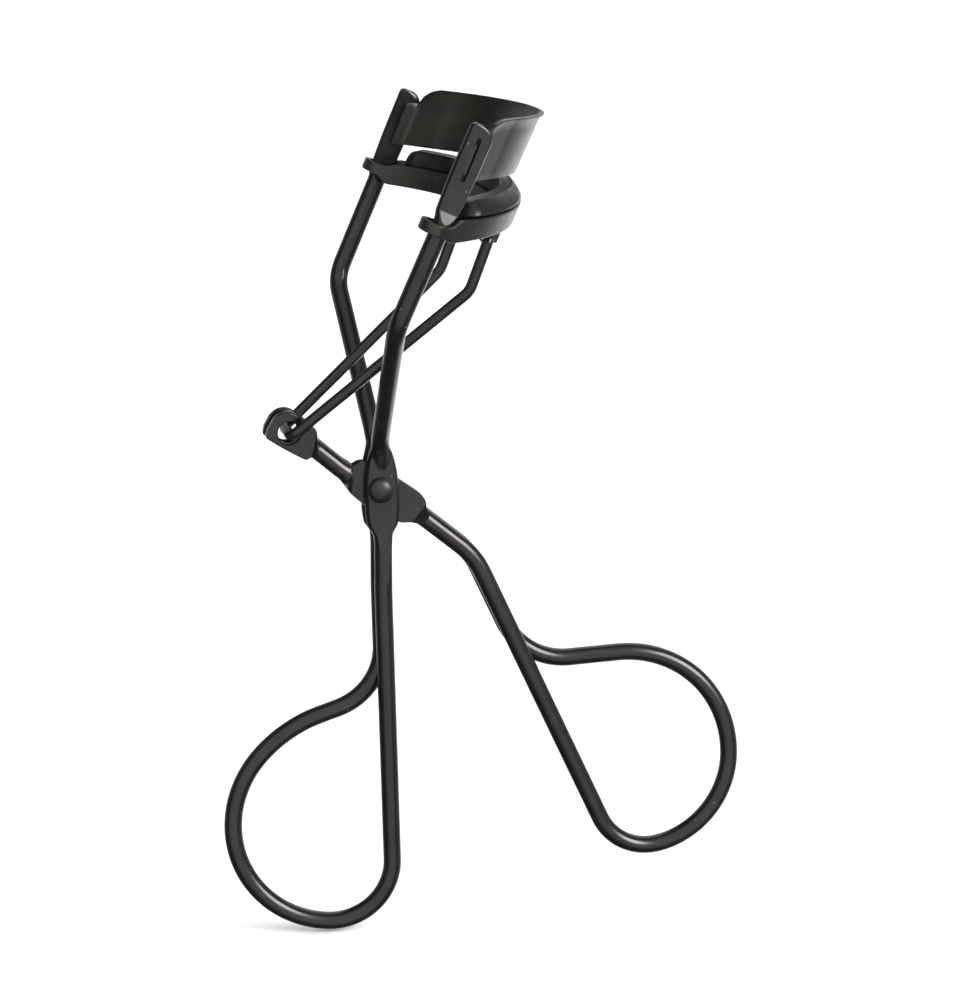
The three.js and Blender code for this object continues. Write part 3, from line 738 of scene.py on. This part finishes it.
def crescent_line():
    """Plan line of the lower jaw's strip: outer arc, turn, inner arc, turn."""
    outer, inner = LOWER["radius"] + LOWER["half"], LOWER["radius"] - LOWER["half"]
    line = []

    def arc(radius, start, end):
        for angle in np.linspace(start, end, 90):
            line.append((LOWER["centre"] + radius * math.cos(angle), radius * math.sin(angle)))

    outer_end = math.acos((LOWER["turn"] - LOWER["centre"]) / outer)
    inner_end = math.acos((LOWER["turn"] - LOWER["centre"]) / inner)
    outer_y, inner_y = outer * math.sin(outer_end), inner * math.sin(inner_end)
    turn_radius, turn_y = (outer_y - inner_y) / 2, (outer_y + inner_y) / 2

    def turn(side):
        for angle in np.linspace(0, math.pi, 26)[1:-1]:
            angle = angle if side > 0 else math.pi - angle
            line.append((LOWER["turn"] - turn_radius * math.sin(angle),
                         side * turn_y + side * turn_radius * math.cos(angle)))

    arc(outer, -outer_end, outer_end)
    turn(1)
    arc(inner, inner_end, -inner_end)
    turn(-1)
    line = np.array(line)
    keep = np.linalg.norm(line - np.roll(line, 1, 0), axis=1) > 0.02
    closed = np.vstack([line[keep], line[keep][:1]])
    return resampled(closed, STRIP_STEP)[:-1]


def jaw_floor():
    """The channel's floor: a flat strip that joins the crescent's two walls."""
    end = math.radians(PAD["end"] + LOWER["floor_past_pad"])
    rings = []
    for angle in np.linspace(-end, end, 80):
        corners = []
        for side, up in ((1, 0), (1, LOWER["floor"]), (-1, LOWER["floor"]), (-1, 0)):
            radius = LOWER["radius"] + side * LOWER["half"]
            forward = LOWER["centre"] + radius * math.cos(angle)
            height = LOWER["low"] + LOWER["floor_up"] + up + EDGE_RISE * forward
            corners.append((forward, radius * math.sin(angle), height))
        rings.append(placed(JAW_FRAME, corners))
    return mesh_over("jaw_floor", rings)


def jaw_lug(side):
    """One lug under the floor, round below its hole. The hole is drilled later."""
    middle = side * (LUG["outer"] + LUG["inner"]) / 2
    hole = JAW_FRAME.inverted() @ (HEAD_FRAME @ Vector((LUG["forward"], middle, LUG["up"])))
    half = (LUG["outer"] - LUG["inner"]) / 2
    top = LOWER["low"] + EDGE_RISE * LUG["forward"] + LUG["sink"] - hole.z
    outline = [(LUG["front"], top), (-LUG["back"], top)]
    outline += [(LUG["back"] * math.cos(t), LUG["drop"] * math.sin(t))
                for t in np.linspace(math.pi, 1.7 * math.pi, 10)]
    outline += [(LUG["front"], -LUG["foot"]), (LUG["front"], 0)]
    return mesh_over("jaw_lug", [placed(JAW_FRAME, [(hole.x + a, hole.y + y, hole.z + b) for a, b in outline])
                                 for y in (-half, half)])


def make_lower_jaw(material):
    """A closed crescent of strip, lower round the uprights, with a channel floor and two drilled lugs."""
    def profile_at(place, out):
        forward = place[0]
        outer = min(max(out[0] / 0.3, 0), 1)
        grow_from, grow_to = [inside + outer * (outside - inside) for inside, outside in
                              zip(LOWER["inner_grows"], LOWER["outer_grows"])]
        share = np.clip((forward - grow_from) / (grow_to - grow_from), 0, 1)
        growth = share * share * (3 - 2 * share)
        rise = EDGE_RISE * forward
        low = LOWER["guide_low"] + growth * (LOWER["low"] + rise - LOWER["guide_low"])
        high = LOWER["guide_high"] + growth * (LOWER["high"] + rise - LOWER["guide_high"])
        return strip_profile(LOWER["thick"], low, high, rim=0.14)

    strip = strip_rings(crescent_line(), profile_at, JAW_FRAME, closed=True)
    jaw = mesh_over("lower_jaw_fine", strip, loops=True)
    combine(jaw, [jaw_floor(), jaw_lug(-1), jaw_lug(1)], "UNION")
    hole = placed(HEAD_FRAME, [(LUG["forward"], 0, LUG["up"])])[0]
    reach = 12
    drill = lathed("lug_drill", [(0.01, -reach), (LUG["hole"], -reach), (LUG["hole"], reach), (0.01, reach)],
                   hole, ACROSS, 40)
    combine(jaw, [drill], "DIFFERENCE")
    return finish_piece(jaw, "jaw", "lower_jaw", material)


# ---- lash pad ----
def pad_outline():
    """The pad's section as (outward, up): stem, outer slope, dished top, rounded inner side, stem."""
    seat, side, high, head, stem = (PAD[name] for name in ("seat", "side", "high", "head", "stem"))
    crest, inner_crest, edge = PAD["crest"], PAD["inner_crest"], PAD["seat_edge"]
    outline = [(stem, PAD["low"]), (stem, seat - edge), (stem + 0.08, seat), (head - 0.12, seat),
               (head, seat + edge)]
    outline += [(head + (crest - head) * share, side + (high - 0.03 - side) * share ** PAD["bulge"])
                for share in np.linspace(0, 1, 12)]
    outline += [(crest - 0.05, high)]
    outline += [(inner_crest + (crest - 0.12 - inner_crest) * share,
                 high - PAD["dish"] * (1 - (2 * share - 1) ** 4)) for share in np.linspace(1, 0, 12)]
    inner_reach, inner_rise = head + inner_crest - 0.08, high - 0.1 - side
    outline += [(-head + inner_reach * (1 - math.cos(t)), side + inner_rise * math.sin(t))
                for t in np.linspace(math.pi / 2, 0, 10)]
    outline += [(-head, seat + edge), (-head + 0.12, seat), (-stem - 0.08, seat), (-stem, seat - edge),
                (-stem, PAD["low"])]
    return np.array(outline)


def make_lash_pad(material):
    """The section run along the bow, shrinking to a round end at both ends."""
    outline = pad_outline()
    middle = (PAD["seat"] + PAD["side"]) / 2
    end = math.radians(PAD["end"])
    reach = PAD["end_round"] / LOWER["radius"]
    turns = np.linspace(0.12, math.pi / 2, 14)[::-1]
    places = [(-end - reach * math.cos(t), math.sin(t)) for t in turns[::-1]]
    places += [(angle, 1.0) for angle in np.linspace(-end, end, 120)[1:-1]]
    places += [(end + reach * math.cos(t), math.sin(t)) for t in turns]
    rings = []
    for angle, size in places:
        radius = LOWER["radius"] + outline[:, 0] * size
        forward = LOWER["centre"] + radius * math.cos(angle)
        up = middle + (outline[:, 1] - middle) * size + EDGE_RISE * forward
        rings.append(placed(JAW_FRAME, np.c_[forward, radius * math.sin(angle), up]))
    pad = mesh_over("lash_pad_fine", rings)
    finish_piece(pad, "jaw", "lash_pad", material)
    return pad


# ---- pivot rivet ----
def make_pivot_rivet(material):
    """Two domed heads on a shank, the same on both sides."""
    head, seat, edge, dome = RIVET["head"], RIVET["seat"], RIVET["edge"], RIVET["dome"]
    half = [(head * math.sin(angle), seat + RIVET["bulge_from"] + dome * math.cos(angle))
            for angle in np.linspace(0.02, 1, 14) * math.pi / 2]
    half += [(head, seat + edge), (head - edge, seat), (RIVET["shank"], seat)]
    profile = [(r, -h) for r, h in half] + [(r, h) for r, h in half[::-1]]
    rivet = lathed("pivot_rivet_fine", profile, np.zeros(3), ACROSS, 72)
    return finish_piece(rivet, "frame", "pivot_rivet", material)


# ---- materials ----
SPECK = (0.32, 0.31, 0.3)
DUST = (0.3, 0.3, 0.3)
SILICONE = ((0.004, 0.004, 0.004), (0.009, 0.009, 0.009))
WIRE_COAT = {"dark": (0.005, 0.005, 0.005), "light": (0.009, 0.009, 0.008), "rough": (0.19, 0.26),
             "grain": 0.03}
SHEET_COAT = {"dark": (0.007, 0.007, 0.006), "light": (0.012, 0.012, 0.010), "rough": (0.30, 0.38),
              "grain": 0.05}
RIVET_COAT = {"dark": (0.006, 0.006, 0.006), "light": (0.011, 0.011, 0.010), "rough": (0.34, 0.42),
              "grain": 0.03}


class Nodes:
    """Short names for building a procedural material."""

    def __init__(self, name):
        self.material = bpy.data.materials.new(name)
        self.material.use_nodes = True
        self.tree = self.material.node_tree
        self.shader = self.tree.nodes["Principled BSDF"]
        self.place = self.tree.nodes.new("ShaderNodeTexCoord").outputs["Object"]

    def noise(self, scale, detail=3.0, roughness=0.55):
        """Noise over the piece, with scale in cells per metre."""
        node = self.tree.nodes.new("ShaderNodeTexNoise")
        node.inputs["Scale"].default_value = scale
        node.inputs["Detail"].default_value = detail
        node.inputs["Roughness"].default_value = roughness
        self.tree.links.new(self.place, node.inputs["Vector"])
        return node.outputs["Fac"]

    def spread(self, value, low, high, to_low, to_high):
        """A value's range from low to high, stretched to another range."""
        node = self.tree.nodes.new("ShaderNodeMapRange")
        for socket, number in zip(("From Min", "From Max", "To Min", "To Max"), (low, high, to_low, to_high)):
            node.inputs[socket].default_value = number
        self.tree.links.new(value, node.inputs["Value"])
        return node.outputs["Result"]

    def mix(self, share, one, two):
        """A mix of two colours, or of node outputs."""
        node = self.tree.nodes.new("ShaderNodeMix")
        node.data_type = "RGBA"
        self.tree.links.new(share, node.inputs["Factor"])
        for socket, colour in ((node.inputs[6], one), (node.inputs[7], two)):
            if isinstance(colour, tuple):
                socket.default_value = (*colour, 1)
            else:
                self.tree.links.new(colour, socket)
        return node.outputs[2]

    def bump(self, *layers):
        """Layers of (height, strength, distance) bumps, one over the other."""
        normal = None
        for height, strength, distance in layers:
            node = self.tree.nodes.new("ShaderNodeBump")
            node.inputs["Strength"].default_value = strength
            node.inputs["Distance"].default_value = distance
            self.tree.links.new(height, node.inputs["Height"])
            if normal is not None:
                self.tree.links.new(normal, node.inputs["Normal"])
            normal = node.outputs["Normal"]
        self.tree.links.new(normal, self.shader.inputs["Normal"])

    def give(self, socket, value):
        """Sets a shader input to a number, or links a node output to it."""
        if isinstance(value, (int, float)):
            self.shader.inputs[socket].default_value = value
        else:
            self.tree.links.new(value, self.shader.inputs[socket])


def coated_metal(name, dark, light, rough, grain):
    """Black coating: faint olive mottling, orange peel, fine grain and a few light specks."""
    nodes = Nodes(name)
    mottled = nodes.mix(nodes.spread(nodes.noise(260, 4), 0.35, 0.65, 0, 1), dark, light)
    specks = nodes.spread(nodes.noise(2600, 1, 0.3), 0.795, 0.83, 0, 0.55)
    nodes.give("Base Color", nodes.mix(specks, mottled, SPECK))
    nodes.give("Roughness", nodes.spread(nodes.noise(900, 3), 0.3, 0.7, *rough))
    nodes.give("Specular IOR Level", 0.5)
    nodes.bump((nodes.noise(1100, 2), 0.10, 0.00006), (nodes.noise(9000, 2), grain, 0.00002))
    return nodes.material


def lash_silicone():
    """Smooth black silicone with a soft bloom and light dust."""
    nodes = Nodes("black_silicone")
    bloom = nodes.mix(nodes.spread(nodes.noise(420, 5), 0.35, 0.7, 0, 1), *SILICONE)
    dust = nodes.spread(nodes.noise(3100, 2, 0.4), 0.77, 0.83, 0, 0.5)
    nodes.give("Base Color", nodes.mix(dust, bloom, DUST))
    nodes.give("Roughness", nodes.spread(nodes.noise(700, 3), 0.3, 0.7, 0.26, 0.42))
    nodes.give("Specular IOR Level", 0.38)
    nodes.bump((nodes.noise(800, 2), 0.10, 0.00006), (nodes.noise(7000, 3), 0.05, 0.00002))
    return nodes.material


# ---- camera, floor and lights ----
CAMERA = {"azimuth": -13.69, "elevation": 14.75, "roll": -1.376, "right": 13.38, "up": -2.12,
          "distance": 372.7, "sensor": 36, "lens": 101.9666}
FLOOR_HALF = 6.0
FLOOR_GAP = 0.0002
OVERHEAD = {"energy": 1.6, "spread": 120}


def add_camera():
    """The camera fitted to the photo, placed from the rivet to its own right, up and back."""
    azimuth, elevation, roll = (math.radians(CAMERA[name]) for name in ("azimuth", "elevation", "roll"))
    back = np.array([math.sin(azimuth) * math.cos(elevation), -math.cos(azimuth) * math.cos(elevation),
                     math.sin(elevation)])
    right = np.array([math.cos(azimuth), math.sin(azimuth), 0])
    up = np.cross(back, right)
    turned = np.array([math.cos(roll) * right + math.sin(roll) * up,
                       -math.sin(roll) * right + math.cos(roll) * up, back])
    place = (turned.T @ np.array([CAMERA["right"], CAMERA["up"], CAMERA["distance"]]) + RIVET_AT) * MM
    data = bpy.data.cameras.new("camera")
    data.sensor_width = CAMERA["sensor"]
    data.lens = CAMERA["lens"]
    data.clip_start, data.clip_end = 0.01, 100
    camera = bpy.data.objects.new("camera", data)
    camera.matrix_world = Matrix.Translation(place) @ Matrix(turned.T.tolist()).to_4x4()
    bpy.context.scene.collection.objects.link(camera)
    bpy.context.scene.camera = camera


def add_floor():
    """A wide pale floor, in metres. Gloss looks past it into the surroundings, and it casts no shadow."""
    low = cad_box[0].z - FLOOR_GAP
    corners = [(x * FLOOR_HALF, y * FLOOR_HALF, low) for x, y in ((-1, -1), (1, -1), (1, 1), (-1, 1))]
    mesh = bpy.data.meshes.new("floor")
    mesh.from_pydata(corners, [], [(0, 1, 2, 3)])
    floor = bpy.data.objects.new("floor", mesh)
    bpy.context.scene.collection.objects.link(floor)
    nodes = Nodes("pale_floor")
    nodes.give("Base Color", nodes.mix(nodes.noise(12), (0.9, 0.9, 0.9), (0.93, 0.93, 0.93)))
    nodes.give("Roughness", 0.9)
    nodes.give("Specular IOR Level", 0.0)
    mesh.materials.append(nodes.material)
    floor.visible_glossy = False
    floor.visible_shadow = False


def add_overhead_light():
    """An even light from straight above, which whitens the floor and leaves no glint."""
    data = bpy.data.lights.new("overhead", "SUN")
    data.energy = OVERHEAD["energy"]
    data.angle = math.radians(OVERHEAD["spread"])
    light = bpy.data.objects.new("overhead", data)
    light.visible_glossy = False
    bpy.context.scene.collection.objects.link(light)


def sky_direction(azimuth, elevation):
    """A unit vector: azimuth 0 is along -Y, towards the viewer's side, and +90 is along +X."""
    azimuth, elevation = math.radians(azimuth), math.radians(elevation)
    return (math.sin(azimuth) * math.cos(elevation), -math.cos(azimuth) * math.cos(elevation),
            math.sin(elevation))


# soft panels round the object: azimuth, elevation, full and outer radius in degrees, strength, colour
PANELS = (
    (-8, 20, 38, 78, 1.05, (0.98, 1.0, 0.93)),
    (46, 23, 12, 19, 15.0, (1.0, 0.91, 0.98)),
    (105, -12, 15, 48, 0.35, (1.0, 1.0, 1.0)),
    (158, -32, 14, 42, 1.9, (0.98, 0.99, 1.0)),
    (150, 36, 12, 36, 1.4, (0.98, 0.98, 1.0)),
    (-150, 0, 10, 40, 0.5, (0.95, 0.98, 1.0)),
)
SURROUNDINGS = (0.035, 0.035, 0.036)


def add_world():
    """Dark surroundings, with the panels. Each panel fades from its full radius to its outer one."""
    world = bpy.data.worlds.new("studio")
    world.use_nodes = True
    tree = world.node_tree
    where = tree.nodes.new("ShaderNodeTexCoord").outputs["Generated"]
    total = None
    for azimuth, elevation, full, outer, strength, colour in PANELS:
        dot = tree.nodes.new("ShaderNodeVectorMath")
        dot.operation = "DOT_PRODUCT"
        dot.inputs[1].default_value = sky_direction(azimuth, elevation)
        tree.links.new(where, dot.inputs[0])
        share = tree.nodes.new("ShaderNodeMapRange")
        share.interpolation_type = "SMOOTHSTEP"
        share.inputs["From Min"].default_value = math.cos(math.radians(outer))
        share.inputs["From Max"].default_value = math.cos(math.radians(full))
        tree.links.new(dot.outputs["Value"], share.inputs["Value"])
        panel = tree.nodes.new("ShaderNodeVectorMath")
        panel.operation = "SCALE"
        panel.inputs[0].default_value = [strength * channel for channel in colour]
        tree.links.new(share.outputs["Result"], panel.inputs["Scale"])
        both = tree.nodes.new("ShaderNodeVectorMath")
        both.operation = "ADD"
        tree.links.new(panel.outputs[0], both.inputs[0])
        if total is None:
            both.inputs[1].default_value = SURROUNDINGS
        else:
            tree.links.new(total, both.inputs[1])
        total = both.outputs[0]
    tree.links.new(total, tree.nodes["Background"].inputs["Color"])
    bpy.context.scene.world = world


add_camera()
add_floor()
add_overhead_light()
add_world()
bpy.context.scene.view_settings.view_transform = "Standard"

wire_coat = coated_metal("black_wire_coat", **WIRE_COAT)
sheet_coat = coated_metal("black_sheet_coat", **SHEET_COAT)
rivet_coat = coated_metal("black_rivet_coat", **RIVET_COAT)
make_frame_wire(wire_coat)
make_lever_wire(wire_coat)
make_push_link(wire_coat)
make_upper_jaw(sheet_coat)
make_lower_jaw(sheet_coat)
make_lash_pad(lash_silicone())
make_pivot_rivet(rivet_coat)
